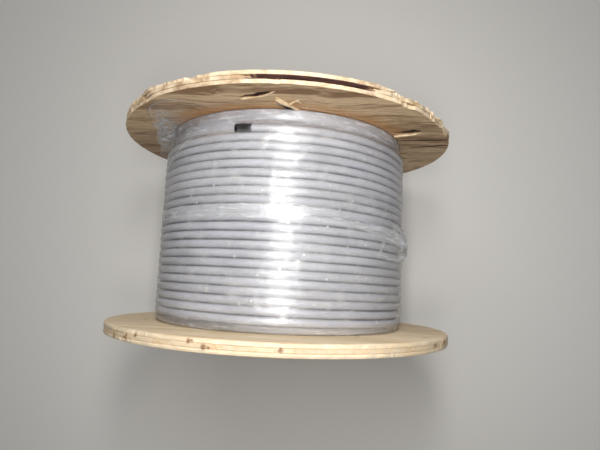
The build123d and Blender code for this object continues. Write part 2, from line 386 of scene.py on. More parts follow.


# Near flange: the sound one, with small brown knots and a few nicks on its rim. It is pale and bright,
# partly its own clean wood and partly painted light.
# A knot has its clock angle, its place across the rim from the board's middle and its size, in millimetres.
# The bites are listed ply by ply, from the winding outwards: first and last clock angle, depth, raggedness.
near_knots = [
    (129.6, -1.6, 2.6), (128.9, 0.4, 1.7), (124.8, 1.6, 2.2), (106.7, 2.6, 2.3), (105.8, 2.9, 1.6),
    (102.6, -0.6, 2.6), (101.4, -0.8, 1.7), (84, 0.4, 2.2), (33, 0.4, 2.8), (32.4, 1.6, 1.8), (25, 1.4, 2.6),
]
# Painted paler than its own wood, as painted light on the near flange's faces.
near_wood = plywood(
    "poplar_plywood_near",
    -half_traverse - ply_thickness * PLY_COUNT / 2,
    pale="#F0DCBC",
    tan="#DBC19A",
    core=("#D5BD98", "#BC9C72"),
    rim="#CCBBA0",
    glue_shows=0.3,
    knots=near_knots,
)
near_bites = [
    [(24, 36, 0.9 * MM, 0.9), (118, 128, 0.5 * MM, 0.8), (-95, -80, 1.2 * MM, 0.8)],
    [(28, 36, 0.9 * MM, 0.5), (150, 158, 1.0 * MM, 0.6), (-60, -48, 1.5 * MM, 0.6)],
    [(52, 58, 0.5 * MM, 0.8), (126, 134, 0.8 * MM, 0.9), (-20, -8, 1.0 * MM, 0.8)],
]
face = -half_traverse
plies = []
for number, bites in enumerate(near_bites):
    outer, inner = face - (number + 1) * ply_thickness, face - number * ply_thickness
    ease_low = SANDED_EDGE if number == PLY_COUNT - 1 else SHARP_EDGE
    ease_high = SANDED_EDGE if number == 0 else SHARP_EDGE
    plies.append(ply_disc(outer, inner, BACK_RINGS, bites, number, ease_low, ease_high))
near_flange = finished("plywood_near_flange", plies, near_wood)
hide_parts("near_flange")

# Far flange: weathered and damaged, with a void in its middle ply and its rim chipped and broken.
# Its colours are darker than the near flange's, partly from weathering and partly as painted shade on its
# inner face.
far_wood = plywood(
    "poplar_plywood_far",
    half_traverse + ply_thickness * PLY_COUNT / 2,
    pale="#DBC09A",
    tan="#8C6A48",
    core=("#A88558", "#6B4D30"),
    rim="#DDC9AB",
    glue_shows=0.6,
    stain=(101 * MM, 119 * MM, 32, 134, "#C4853A"),
)
far_bites = [
    [(12, 46, 1.8 * MM, 0.9), (47, 53, 1.4 * MM, 0.8), (87, 90, 0.8 * MM, 0.5), (124, 240, 2.6 * MM, 0.3)],
    [
        (58.5, 99.5, 6.5 * MM, 0.25),
        (50, 57, 2.0 * MM, 0.5),
        (16, 44, 3.2 * MM, 0.7),
        (126, 240, 2.9 * MM, 0.3),
    ],
    [
        (14, 61, 4.2 * MM, 0.6),
        (110.5, 114.5, 4.0 * MM, 0.4),
        (104, 129, 1.5 * MM, 0.8),
        (128, 240, 3.0 * MM, 0.4),
    ],
]
FAR_SEED = 20
MIDDLE_PLY = 1
SPLIT, VOID, TORN = 1, 2, 3
# The void: its clock angles, its place in the board, and how deep the ply must have broken back before its
# painted shade starts, which is deeper towards the glue lines, so that its ends are wedges.
VOID_FROM, VOID_TO = 57, 103
VOID_LOW, VOID_HIGH = half_traverse + ply_thickness * 0.9, half_traverse + ply_thickness * 2.1
VOID_SHOWS_FROM = 0.8 * MM
VOID_WEDGE = 2.8 * MM
VOID_ROWS = 6
SLIT_DEPTH = 5.9 * MM
SLIVER_THICKNESS = 0.8 * MM
SLIVER_RAGGED = 0.2 * MM
SLIVER_STEPS = 12
START_HOLE_RADIUS = 7 * MM
START_HOLE_SIDES = 40
START_HOLE_CLOCK = 205
START_HOLE_FROM_AXIS = 57.95 * MM


def in_void(middle):
    """Whether a face with this middle point is part of the void's wall."""
    degrees, radius = clock_and_radius(middle)
    in_board = middle.y - drum_middle.y
    by_void = VOID_LOW < in_board < VOID_HIGH and radius > flange_radius - EDGE_BAND
    off_middle = abs(in_board - half_traverse - 1.5 * ply_thickness) / (ply_thickness / 2)
    ragged = abs(noise.noise(Vector((in_board * 900, degrees * 0.8, 4))))
    shows_from = VOID_SHOWS_FROM + VOID_WEDGE * (off_middle + ragged)
    open_here = bite_depth(degrees, far_bites[MIDDLE_PLY], FAR_SEED + MIDDLE_PLY) > shows_from
    return by_void and open_here and VOID_FROM < degrees < VOID_TO


def on_far_face(x, z):
    """Point on the far flange's inner face, in millimetres right of the axis and above it."""
    return drum_middle + Vector((x * MM, half_traverse, z * MM))


def slit(start, end, width):
    """Lens-shaped cutter along a split in the far flange's inner plies, widest past its middle."""
    bm = bmesh.new()
    bmesh.ops.create_icosphere(bm, subdivisions=3, radius=1)
    middle, along = (start + end) / 2, (end - start) / 2
    for vert in bm.verts:
        opened = (0.35 + 0.65 * eased(vert.co.x, -0.9, 0.5)) * (1 - 0.4 * vert.co.x ** 2)
        bent = 0.8 * noise.noise(Vector((vert.co.x * 2.2, 0, 0)) + start * 60)
        across = vert.co.z * opened + bent
        vert.co = Vector((vert.co.x * along.length, vert.co.y * SLIT_DEPTH, across * width / 2))
    turn = Matrix.Rotation(-math.atan2(along.z, along.x), 4, "Y")
    bmesh.ops.transform(bm, verts=bm.verts, matrix=Matrix.Translation(middle) @ turn)
    for face in bm.faces:
        # A split's faces take the split material, painted shade down in the split.
        face.material_index = SPLIT
    return bm


def sliver(start, end, width, upward, lift):
    """Strip of torn veneer, this wide off the board: held at its start and rising to its ragged end."""
    bm = bmesh.new()
    bmesh.ops.create_grid(bm, x_segments=SLIVER_STEPS, y_segments=3, size=0.5)
    thicker = bmesh.ops.extrude_face_region(bm, geom=bm.faces[:])["geom"]
    raised = [item for item in thicker if isinstance(item, bmesh.types.BMVert)]
    bmesh.ops.translate(bm, verts=raised, vec=(0, 0, 1))
    along, across = end - start, Vector((0, -1, 0))
    thick = along.cross(across).normalized() * SLIVER_THICKNESS
    for vert in bm.verts:
        share, side, level = min(max(vert.co.x + 0.5, 0), 1), vert.co.y + 0.5, vert.co.z - 0.5
        ragged = noise.noise(Vector((share * 3, side * 2.5, start.x * 90 + start.z * 70)))
        taper = (1 - 0.85 * share ** 2.2) * (1 + 0.4 * ragged)
        rise = upward * (lift * share ** 1.6 + SLIVER_RAGGED * ragged)
        lengthened = along * share * (1 + 0.15 * ragged * share)
        thinned = thick * level * (1 - 0.6 * share)
        vert.co = start + lengthened + across * side * width * taper + thinned + rise
    bmesh.ops.recalc_face_normals(bm, faces=bm.faces)
    for face in bm.faces:
        face.material_index = TORN
    return bm


def start_hole():
    """Round cutter for the hole where the cable's inner end comes out."""
    bm = bmesh.new()
    bmesh.ops.create_cone(
        bm,
        cap_ends=True,
        segments=START_HOLE_SIDES,
        radius1=START_HOLE_RADIUS,
        radius2=START_HOLE_RADIUS,
        depth=PLY_COUNT * ply_thickness * 1.5,
    )
    middle = at_clock(START_HOLE_FROM_AXIS, START_HOLE_CLOCK, half_traverse + ply_thickness * PLY_COUNT / 2)
    bmesh.ops.transform(
        bm,
        verts=bm.verts,
        matrix=Matrix.Translation(middle) @ Matrix.Rotation(math.radians(90), 4, "X"),
    )
    return bm


def cut_away(board, cutters):
    """Board with the cutters taken out of it. The cut's own faces keep the cutters' material."""
    meshes = []
    for number, part in enumerate([board, *cutters]):
        mesh = bpy.data.meshes.new(f"cut_{number}")
        part.to_mesh(mesh)
        for material in (far_wood, far_split_shade, far_void_shade):
            mesh.materials.append(material)
        meshes.append(bpy.data.objects.new(f"cut_{number}", mesh))
        bpy.context.scene.collection.objects.link(meshes[-1])
    for cutter in meshes[1:]:
        cut = meshes[0].modifiers.new("cut", "BOOLEAN")
        cut.object = cutter
        cut.solver = "EXACT"
    bpy.context.view_layer.update()
    result = bmesh.new()
    result.from_object(meshes[0], bpy.context.evaluated_depsgraph_get())
    for used in meshes:
        bpy.data.objects.remove(used)
    board.free()
    return result


# The split's near-black tones are painted shade down in the cut, not the wood's own colour.
far_split_shade = broken_wood_and_shade("poplar_split_painted_shade", "#4A2E22", "#1E110D")
# The void's dark purple-brown is painted shade down in the gap in the middle ply.
far_void_shade = broken_wood_and_shade("poplar_core_void_painted_shade", "#8A6459", "#5A3D38")
far_torn = broken_wood_and_shade("poplar_torn_veneer", "#F0E0C0", "#D2B486")

# Splits in the face: both ends, in millimetres from the axis, and the width. The first few go on through the
# middle ply, and none reaches the outer one.
DEEP_SPLITS = 3
face_splits = [
    ((-26, 128), (-1, 138), 5.5),
    ((1, 118), (20, 92), 6.5),
    ((95, 60), (117, 67), 8.0),
    ((93, 47), (102, 51), 3.5),
    ((84, 36), (158, 44), 3.4),
    ((106, 14), (160, 33), 3.2),
    ((-141, 38), (-112, 44), 1.2),
    ((-140, -25), (-118, -38), 1.8),
]
splits = [slit(on_far_face(*start), on_far_face(*end), width * MM) for start, end, width in face_splits]
ply_splits = [splits, splits[:DEEP_SPLITS], []]

# Slivers standing along the splits: the held end and the tip, the width off the face, and the tip's lift.
face_slivers = [
    ((-24, 125), (1, 133.5), 1.0, 0.3),
    ((-5, 133), (2, 139), 1.0, 0.6),
    ((2, 130), (21, 100), 3.0, 1.0),
    ((9, 116), (18, 125), 1.6, 1.5),
    ((17, 125), (20, 117), 1.3, 0.4),
    ((97, 51), (119, 60), 2.0, 0.6),
]
torn = []
for held, tip, width, lift in face_slivers:
    torn.append(sliver(on_far_face(*held), on_far_face(*tip), width * MM, Vector((0, 0, 1)), lift * MM))

# Slivers along the rim: the clock angles of the held end and the tip, how deep in the board, width and lift.
SLIVER_SEAT = 1.6 * MM
rim_slivers = [
    (66, 54.5, 8.8, 1.6, 0.6),
    (62, 50, 6.0, 1.2, 0.4),
    (38, 32, 4.4, 1.6, 1.0),
    (31, 25, 7.0, 1.4, 0.4),
    (100, 91.5, 8.8, 0.9, 0.3),
]
for first, last, depth, width, lift in rim_slivers:
    held = at_clock(flange_radius - SLIVER_SEAT, first, half_traverse + depth * MM)
    tip = at_clock(flange_radius - SLIVER_SEAT, last, half_traverse + depth * MM)
    torn.append(sliver(held, tip, width * MM, (tip - drum_middle).normalized(), lift * MM))

face = half_traverse
plies = []
for number, bites in enumerate(far_bites):
    inner, outer = face + number * ply_thickness, face + (number + 1) * ply_thickness
    rings = FACE_RINGS if number == 0 else BACK_RINGS
    rim_rows = VOID_ROWS if number == MIDDLE_PLY else 1
    ply = ply_disc(inner, outer, rings, bites, FAR_SEED + number, rim_rows=rim_rows)
    for part in ply.faces:
        if in_void(part.calc_center_median()):
            # The void's wall takes the void material, painted shade down in the void.
            part.material_index = VOID
    plies.append(cut_away(ply, [start_hole(), *ply_splits[number]]))
far_flange = finished("plywood_far_flange", plies + torn, far_wood, far_split_shade, far_void_shade, far_torn)
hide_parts("far_flange")

# Tie bolts, washers and nuts
# Three quarter-inch carriage bolts clamp the flanges on the core: domed heads in front, and washers and nuts
# behind. They are steel with bright zinc plating, dulled in the damp.

# Zinc plate, barrel plated: a bluish metal whose sheen breaks up into small cloudy patches.
CLOUD = 1.5 * MM
CLOUD_RELIEF = 0.1 * MM

zinc, tree, shader, place = new_material("zinc_plated_steel")
clouds = add(tree, "TexNoise", {"Vector": place, "Scale": 1 / CLOUD, "Detail": 5}).outputs[0]
plate = add(tree, "ValToRGB", {0: clouds}, stops=[(0.35, "#8D8F93"), (0.68, "#C3C6CA")])
dull = add(tree, "MapRange", {0: clouds, 1: 0.3, 2: 0.7, 3: 0.5, 4: 0.28})
bump = add(tree, "Bump", {"Height": clouds, "Strength": 0.15, "Distance": CLOUD_RELIEF})
tree.links.new(plate.outputs[0], shader.inputs["Base Color"])
tree.links.new(dull.outputs[0], shader.inputs["Roughness"])
tree.links.new(bump.outputs[0], shader.inputs["Normal"])
shader.inputs["Metallic"].default_value = 1
for number in (1, 2, 3):
    for fastener in ("tie_bolt", "washer", "nut"):
        give(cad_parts[f"{fastener}_{number}"], zinc)

# Cable winding
# Grey round cable, 6.8 mm thick, wound tight in flat layers. The outer layer runs from the near flange
# towards the far one and stops short of it, so a turn and a half of the layer below shows in the gap.

CABLE_RADIUS = 3.4 * MM
PITCH = 6.8 * MM
WINDING_RADIUS = 112 * MM
OUTER_TURNS = 23
UNDER_TURNS = 2
UNDER_PITCH = PITCH * 0.95
# Where the cable's outer end lies, and how far short of the far flange the outer layer stops.
END_CLOCK = 105.5
END_GAP = 12.4 * MM
LAST_TURN_Y = half_traverse - END_GAP - CABLE_RADIUS
LAYER_RISE = 5.9 * MM
# Gaps at the flanges, under the outer layer and round the core, and how far the cable strays from its line.
SIDE_GAP = 0.3 * MM
BODY_GAP = 1.2 * MM
CORE_GAP = 0.2 * MM
BODY_STEPS = 96
CABLE_SIDES = 12
TURN_STEPS = 120
WANDER = 0.16 * MM
MERGE = 0.02 * MM


def sunk_at_flange(y):
    """How far a turn is pushed along the drum and in, where the near flange leaves it no room."""
    lowest = -half_traverse + SIDE_GAP + CABLE_RADIUS
    pushed = max(0, lowest - y)
    beside = max(y + PITCH, lowest) - max(y, lowest)
    return pushed, math.sqrt(max(0, PITCH ** 2 - beside ** 2)) if pushed else 0


def wound_tube(radius, sides, centre_radius, clock, y, degrees, steps, pitch):
    """Open tube wound round the drum, from a clock angle and a place along it through these degrees."""
    bm = bmesh.new()
    ring = bmesh.ops.create_circle(bm, segments=sides, radius=radius)["verts"]
    start = Matrix.Translation(at_clock(centre_radius, clock, y))
    bmesh.ops.transform(bm, verts=ring, matrix=start @ Matrix.Rotation(-math.radians(clock), 4, "Y"))
    bmesh.ops.spin(
        bm,
        geom=ring + bm.edges[:],
        cent=drum_middle,
        axis=(0, -1, 0),
        angle=math.radians(degrees),
        steps=steps,
        dvec=(0, pitch * degrees / 360 / steps, 0),
    )
    return bm


def close_ends(tube):
    """Fills a tube's open ends and turns its faces outwards."""
    bmesh.ops.holes_fill(tube, edges=[edge for edge in tube.edges if edge.is_boundary], sides=0)
    bmesh.ops.recalc_face_normals(tube, faces=tube.faces)


def helix(first_y, centre_radius, start_clock, turns, pitch):
    """Round cable wound on a helix: one turn is spun, copied along the drum and joined up."""
    bm = wound_tube(CABLE_RADIUS, CABLE_SIDES, centre_radius, start_clock, first_y, 360, TURN_STEPS, pitch)
    one_turn = bm.verts[:] + bm.edges[:] + bm.faces[:]
    for number in range(1, turns):
        copy = bmesh.ops.duplicate(bm, geom=one_turn)["geom"]
        verts = [item for item in copy if isinstance(item, bmesh.types.BMVert)]
        bmesh.ops.translate(bm, verts=verts, vec=(0, number * pitch, 0))
    bmesh.ops.remove_doubles(bm, verts=bm.verts, dist=MERGE)
    close_ends(bm)
    # A vertex wanders by how many turns it has passed, so the wander runs on from each turn into the next.
    for vert in bm.verts:
        degrees, radius = clock_and_radius(vert.co)
        along = (vert.co.y - drum_middle.y - first_y) / pitch
        turned = ((degrees - start_clock) % 360) / 360
        passed = round(along - turned) + turned
        sideways = WANDER * noise.noise(Vector((passed * 4.3, 1.7, first_y * 90)))
        outwards = WANDER * noise.noise(Vector((passed * 5.1, 8.2, first_y * 90)))
        pushed, sunk = sunk_at_flange(first_y + passed * pitch)
        vert.co.y += sideways + pushed
        set_radius(vert, radius + outwards - sunk)
    return bm


# Plasticised PVC jacket, extruded and a little dusty: soft grey with a broad sheen, darker where it is
# scuffed. Painted shade darkens the grooves between the outer turns, at these depths, and the layer below
# has none.
SCUFF = 14 * MM
DUST = 0.8 * MM
DUST_RELIEF = 0.08 * MM
GROOVE_SHADE_FROM, GROOVE_SHADE_TO = 0.9 * MM, 2.4 * MM
LAYER_ENDS, UNSHADED_FROM = 3.8 * MM, 4.8 * MM

jacket, tree, shader, place = new_material("extruded_pvc_jacket")
round_drum = add(tree, "Mapping", {"Vector": place, "Scale": (0.35, 1, 0.35)}).outputs[0]
scuffs = add(
    tree, "TexNoise", {"Vector": round_drum, "Scale": 1 / SCUFF, "Detail": 5, "Roughness": 0.6}
).outputs[0]
grey = add(tree, "ValToRGB", {0: scuffs}, stops=[(0.3, "#8C8C93"), (0.72, "#A9A9B1")])
dust = add(tree, "TexNoise", {"Vector": place, "Scale": 1 / DUST, "Detail": 2}).outputs[0]
speck = add(tree, "MapRange", {0: dust, 1: 0.62, 2: 0.75, 4: 0.35}).outputs[0]
dusty = add(
    tree,
    "Mix",
    {MIX_FACTOR: speck, MIX_A: grey.outputs[0], MIX_B: colour("#D2D0CB")},
    data_type="RGBA",
)
split = add(tree, "SeparateXYZ", {0: place})
flat = add(tree, "CombineXYZ", {0: split.outputs[0], 2: split.outputs[2]}).outputs[0]
off_axis = add(tree, "VectorMath", {0: flat}, operation="LENGTH").outputs["Value"]
# Painted shade: the jacket is painted dark down in the grooves between the outer turns, darker the deeper it
# lies.
sunk = add(
    tree, "MapRange", {0: off_axis, 1: WINDING_RADIUS - GROOVE_SHADE_FROM, 2: WINDING_RADIUS - GROOVE_SHADE_TO, 4: 0.9}
).outputs[0]
outer = add(
    tree, "MapRange", {0: off_axis, 1: WINDING_RADIUS - UNSHADED_FROM, 2: WINDING_RADIUS - LAYER_ENDS}
).outputs[0]
groove_shade = add(tree, "Math", {0: sunk, 1: outer}, operation="MULTIPLY").outputs[0]
groove_shaded = add(
    tree,
    "Mix",
    {MIX_FACTOR: groove_shade, MIX_A: dusty.outputs[MIX_COLOUR], MIX_B: colour("#3A3A44")},
    data_type="RGBA",
)
sheen = add(tree, "MapRange", {0: scuffs, 1: 0.3, 2: 0.7, 3: 0.42, 4: 0.58})
bump = add(tree, "Bump", {"Height": dust, "Strength": 0.12, "Distance": DUST_RELIEF})
tree.links.new(groove_shaded.outputs[MIX_COLOUR], shader.inputs["Base Color"])
tree.links.new(sheen.outputs[0], shader.inputs["Roughness"])
tree.links.new(bump.outputs[0], shader.inputs["Normal"])

outer_radius = WINDING_RADIUS - CABLE_RADIUS
outer_layer = helix(LAST_TURN_Y - OUTER_TURNS * PITCH, outer_radius, END_CLOCK, OUTER_TURNS, PITCH)
end_y = half_traverse - SIDE_GAP
under_y = end_y - CABLE_RADIUS - UNDER_TURNS * UNDER_PITCH
under_layer = helix(under_y, outer_radius - LAYER_RISE, END_CLOCK, UNDER_TURNS, UNDER_PITCH)
body_radius = WINDING_RADIUS - 2 * CABLE_RADIUS - BODY_GAP
under_radius = body_radius - LAYER_RISE
core_radius = (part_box("core_tube")[1].z - axis_height) + CORE_GAP
inner_body = spun(
    [
        (core_radius, -end_y),
        (body_radius, -end_y),
        (body_radius, LAST_TURN_Y - PITCH),
        (under_radius, LAST_TURN_Y),
        (under_radius, end_y),
        (core_radius, end_y),
    ],
    BODY_STEPS,
)
winding = finished("wound_cable", [outer_layer, under_layer, inner_body], jacket, smooth=True)
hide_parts("cable_winding")

# Tape on the cable's end
# The cable's outer end is held with three turns of black PVC tape, pulled over the cut end like a cap.
# It lies on the last turn, under the film.

TAPE_LENGTH = 13.5 * MM
TAPE_BUILD = 0.45 * MM
TAPE_OVERHANG = 1.2 * MM
TAPE_SIDES = 24
TAPE_STEPS = 14
WRINKLES_PER_METRE = 420
WRINKLE_HEIGHT = 0.22 * MM
tape_arc = math.degrees(TAPE_LENGTH / WINDING_RADIUS)
overhang_arc = math.degrees(TAPE_OVERHANG / WINDING_RADIUS)

tape_radius = CABLE_RADIUS + TAPE_BUILD
tape_clock = END_CLOCK + overhang_arc - tape_arc
tape_y = LAST_TURN_Y - PITCH * (END_CLOCK - tape_clock) / 360
tape = wound_tube(tape_radius, TAPE_SIDES, outer_radius, tape_clock, tape_y, tape_arc, TAPE_STEPS, PITCH)
close_ends(tape)
for vert in tape.verts:
    wrinkle = noise.noise(vert.co * WRINKLES_PER_METRE) * WRINKLE_HEIGHT
    vert.co += (vert.co - drum_middle).normalized() * wrinkle

# PVC tape, calendered: near black with a soft shine and fine stretch lines round the cable.
STRETCH_LINES = 2.5 * MM
STRETCH_RELIEF = 0.3 * MM

black_tape, tree, shader, place = new_material("black_pvc_tape")
stretch = add(tree, "TexNoise", {"Vector": place, "Scale": 1 / STRETCH_LINES, "Detail": 4}).outputs[0]
black = add(tree, "ValToRGB", {0: stretch}, stops=[(0.3, "#101013"), (0.75, "#25252A")])
bump = add(tree, "Bump", {"Height": stretch, "Strength": 0.5, "Distance": STRETCH_RELIEF})
tree.links.new(black.outputs[0], shader.inputs["Base Color"])
tree.links.new(bump.outputs[0], shader.inputs["Normal"])
shader.inputs["Roughness"].default_value = 0.33
end_tape = finished("tape_on_cable_end", [tape], black_tape, smooth=True)
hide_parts("cable_end_tape")

# Stretch film
# Clear polyethylene film, pulled tight round the winding by hand in several laps. It spans the turns,
# slopes into the gap by the far flange and climbs that flange's face at the left, where it was pulled up.

FILM_THICKNESS = 0.1 * MM
FILM_OFF = 0.3 * MM
FILM_ROWS = 126
FILM_STEPS = 330
EDGE_GAP = 0.5 * MM
film_edge = half_traverse - EDGE_GAP
# How far the film dips between turns, and slopes down past the last turn and by the near flange.
FILM_DIP = 0.5 * MM
CORNER_DROP = 4.0 * MM
SLOPE_FROM, SLOPE_TO = 2.0 * MM, 6.5 * MM
NEAR_DROP = 3.0 * MM
NEAR_SLOPE = 7 * MM
# The last lap: flat this far from its middle, gone this far from it, and how much it stands up.
LAP_FLAT, LAP_ENDS = 4 * MM, 6 * MM
LAP_STEP = 0.25 * MM
# What lies under the film or is tucked into it: clock angle and reach round, place and reach along, height.
TAPE_MIDDLE = END_CLOCK - tape_arc / 2
TAPE_ROUND, TAPE_ALONG, TAPE_RISE = 7, 6 * MM, 0.6 * MM
TUCK_CLOCK, TUCK_ROUND, TUCK_Y, TUCK_ALONG, TUCK_HEIGHT = 10, 26, -10 * MM, 24 * MM, 4.2 * MM
PUCKER_HEIGHT = 0.7 * MM
FINE_PUCKER = 0.35 * MM
# Stretch wisps, where the film climbs the far flange: clock angle, reach, and where along they start.
WISP_CLOCK, WISP_ROUND = 156, 26
WISPS_FROM, WISPS_FULL = 34 * MM, 10 * MM
# How milky one clear layer is, and what the lap, folds, both slopes and the tucked tail add to that.
CLEAR_MILK, LAP_MILK, FOLD_MILK, FAR_MILK, NEAR_MILK, TUCK_MILK = 0.09, 0.24, 0.5, 0.44, 0.24, 0.15


def lap_middle(degrees):
    """Where along the drum the last lap of film lies: it bends towards the near flange at the right."""
    return (5 - 11 * (1 - eased(degrees, 20, 75))) * MM


def hill(value, middle, reach):
    """1 at the middle, falling smoothly to 0 at this reach either side."""
    return 1 - eased(abs(value - middle), 0, reach)


def off_line(degrees, y, start, end):
    """Distance in metres, over the winding's surface, from a line between two (clock, y in mm) points."""
    turn = math.radians(1) * WINDING_RADIUS
    point = Vector((degrees * turn, y))
    first, last = Vector((start[0] * turn, start[1] * MM)), Vector((end[0] * turn, end[1] * MM))
    share = min(max((point - first).dot(last - first) / (last - first).length_squared, 0), 1)
    return (first + (last - first) * share - point).length


# Folds where the film's tail was tucked in and where it was pulled up: both ends as (clock, y in mm), and
# height and width in millimetres.
film_folds = [
    ((38, -11), (42, -23.5), 1.1, 1.6),
    ((42, -23), (26, -24.5), 1.3, 1.8),
    ((26, -24.5), (8, -17), 1.6, 2.4),
    ((30, 4), (2, -4), 1.4, 2.2),
    ((20, -10), (-6, -16), 1.8, 3.0),
    ((58, 6), (34, -4), 0.7, 1.5),
    ((150, 2), (176, -12), 0.8, 2.2),
    ((128, 66), (170, 30), 0.8, 1.8),
]


def film_place(degrees, y):
    """How far the film is from the axis, and how milky, at a clock angle and a place along the drum."""
    behind_end = (degrees - END_CLOCK) % 360
    last_y = LAST_TURN_Y - PITCH * (1 - behind_end / 360)
    dip = FILM_DIP * (0.5 - 0.5 * math.cos(2 * math.pi * (y - last_y) / PITCH))
    lap = 1 - eased(abs(y - lap_middle(degrees)), LAP_FLAT, LAP_ENDS)
    past_end = eased(y, last_y + SLOPE_FROM, last_y + SLOPE_TO)
    at_near = 1 - eased(y, -half_traverse, -half_traverse + NEAR_SLOPE)
    radius = WINDING_RADIUS + FILM_OFF + lap * LAP_STEP - CORNER_DROP * past_end - NEAR_DROP * at_near
    radius -= dip * (1 - 0.85 * lap) * (1 - past_end)
    radius += TAPE_RISE * hill(degrees, TAPE_MIDDLE, TAPE_ROUND) * hill(y, LAST_TURN_Y, TAPE_ALONG)
    tucked = hill(degrees, TUCK_CLOCK, TUCK_ROUND) * hill(y, TUCK_Y, TUCK_ALONG)
    radius += tucked * TUCK_HEIGHT * (0.8 + noise.noise(Vector((degrees * 0.12, y * 160, 5))))
    creased = 0
    for start, end, height, width in film_folds:
        crest = max(0, 1 - off_line(degrees, y, start, end) / (width * MM)) ** 1.5
        radius += height * MM * crest
        creased = max(creased, crest)
    pucker = noise.noise(Vector((degrees * 0.25, y * 80 + degrees * 0.05, 11)))
    fine = noise.noise(Vector((degrees * 0.7, y * 210, 4)))
    radius += max(0, pucker - 0.25) * PUCKER_HEIGHT + max(0, fine - 0.2) * FINE_PUCKER
    milk = CLEAR_MILK + LAP_MILK * lap + FOLD_MILK * creased + FAR_MILK * past_end
    milk += NEAR_MILK * at_near + TUCK_MILK * tucked
    wisps = max(0, noise.noise(Vector((degrees * 0.3, y * 70, 21))) + 0.25)
    wisps *= hill(degrees, WISP_CLOCK, WISP_ROUND)
    milk += 0.9 * wisps * eased(y, half_traverse - WISPS_FROM, half_traverse - WISPS_FULL)
    milk += 0.2 * max(0, pucker - 0.2)
    over_tape = hill(degrees, TAPE_MIDDLE, TAPE_ROUND - 0.5) * hill(y, last_y, TAPE_ALONG)
    return radius, milk * (1 - 0.95 * over_tape)


rows = [-film_edge + 2 * film_edge * k / FILM_ROWS for k in range(FILM_ROWS + 1)]
film = spun([(WINDING_RADIUS, y) for y in rows], FILM_STEPS, closed=False)
milk_layer = film.verts.layers.float.new("milk")
for vert in film.verts:
    from_axis, vert[milk_layer] = film_place(clock_and_radius(vert.co)[0], vert.co.y - drum_middle.y)
    set_radius(vert, from_axis)

# The film's far edge is pulled up over the flange's face: as (clock, radius in mm) along its free edge.
skirt_edge = [
    (-30, 108), (5, 110), (43, 112), (68, 113), (81, 114), (92, 118), (102, 123), (112, 124), (117, 127),
    (120, 138), (123, 145), (129, 147), (135, 144), (146, 132), (157, 124), (179, 127), (195, 142),
    (204, 130), (212, 112), (250, 108), (330, 108),
]
SKIRT_STEPS = 300
SKIRT_RINGS = 12
SKIRT_TUCK = 0.5 * MM
SKIRT_OFF = 0.5 * MM
SKIRT_RAGGED = 1.2 * MM
SKIRT_RIPPLE = 1.1 * MM
# Where the skirt was pulled up: clock angle and reach. From this share of it out, its free edge is milkier.
CLIMB_CLOCK, CLIMB_ROUND = 160, 34
MILKY_EDGE = 0.92


def skirt_clock(degrees):
    """Clock angle as the skirt's edge counts it, from its first point's on."""
    return (degrees - skirt_edge[0][0]) % 360 + skirt_edge[0][0]


def skirt_reach(degrees):
    """Distance from the axis to the film's free edge on the far flange's face."""
    clock = skirt_clock(degrees)
    for (first, low), (last, high) in zip(skirt_edge, skirt_edge[1:]):
        if first <= clock <= last:
            return (low + (high - low) * eased(clock, first, last)) * MM
    return skirt_edge[0][1] * MM


skirt_start = WINDING_RADIUS - CORNER_DROP - SKIRT_TUCK
skirt = spun([(skirt_start + k * MM, film_edge) for k in range(SKIRT_RINGS + 1)], SKIRT_STEPS, closed=False)
milk_layer = skirt.verts.layers.float.new("milk")
for vert in skirt.verts:
    degrees, radius = clock_and_radius(vert.co)
    share = (radius - skirt_start) / (SKIRT_RINGS * MM)
    reach = skirt_reach(degrees) + SKIRT_RAGGED * noise.noise(Vector((degrees * 0.3, 1, 9)))
    ripple = noise.noise(Vector((degrees * 0.5, share * 2, 6)))
    set_radius(vert, skirt_start + (reach - skirt_start) * share)
    vert.co.y = drum_middle.y + half_traverse - SKIRT_OFF - max(0, ripple) * SKIRT_RIPPLE * share
    climbing = hill(skirt_clock(degrees), CLIMB_CLOCK, CLIMB_ROUND)
    wisps = noise.noise(Vector((degrees * 0.35, share * 5, 2)))
    hazy = climbing * (1 - eased(share, 0.7, 1)) * (0.7 + 1.2 * wisps)
    vert[milk_layer] = 0.03 + 0.8 * max(0, hazy) + 0.2 * (share > MILKY_EDGE) * (1 - climbing)

# Polyethylene film, blown and stretched: nearly clear, milky where laps lie on each other or folds gather,
# and painted brown where it is seen edge on, as a painted reflection of its surroundings. Tight puckers
# catch the light as small sharp glints, helped by a pale speck painted at each one's middle as a painted
# glint. The clear parts take most of the reflection away with them, so its coat reflects more than one film
# would.
HAZE = 16 * MM
TIGHT_FOLD = 2.4 * MM
PUCKER_SPACING = 9 * MM
GLINT_RADIUS = 1.17 * MM
FOLD_RELIEF = 0.5 * MM

clear_film, tree, shader, place = new_material("stretched_polyethylene_film")
round_drum = add(tree, "Mapping", {"Vector": place, "Scale": (0.16, 1, 0.16)}).outputs[0]
haze = add(
    tree, "TexNoise", {"Vector": round_drum, "Scale": 1 / HAZE, "Detail": 5, "Distortion": 0.8}
).outputs[0]
patchy = add(tree, "MapRange", {0: haze, 1: 0.36, 2: 0.68, 3: 0.5, 4: 1.5}).outputs[0]
milk = add(tree, "Attribute", attribute_name="milk").outputs["Fac"]
milky = add(tree, "Math", {0: milk, 1: patchy}, operation="MULTIPLY").outputs[0]
folds = add(tree, "TexNoise", {"Vector": round_drum, "Scale": 1 / TIGHT_FOLD, "Detail": 3}).outputs[0]
fold = add(tree, "MapRange", {0: folds, 1: 0.52, 2: 0.72, 4: 1.1}).outputs[0]
fold = add(tree, "Math", {0: fold, 1: milk}, operation="MULTIPLY").outputs[0]
tone = add(tree, "ValToRGB", {0: milk}, stops=[(0.2, "#EFEEEA"), (0.5, "#CDD0D7")])
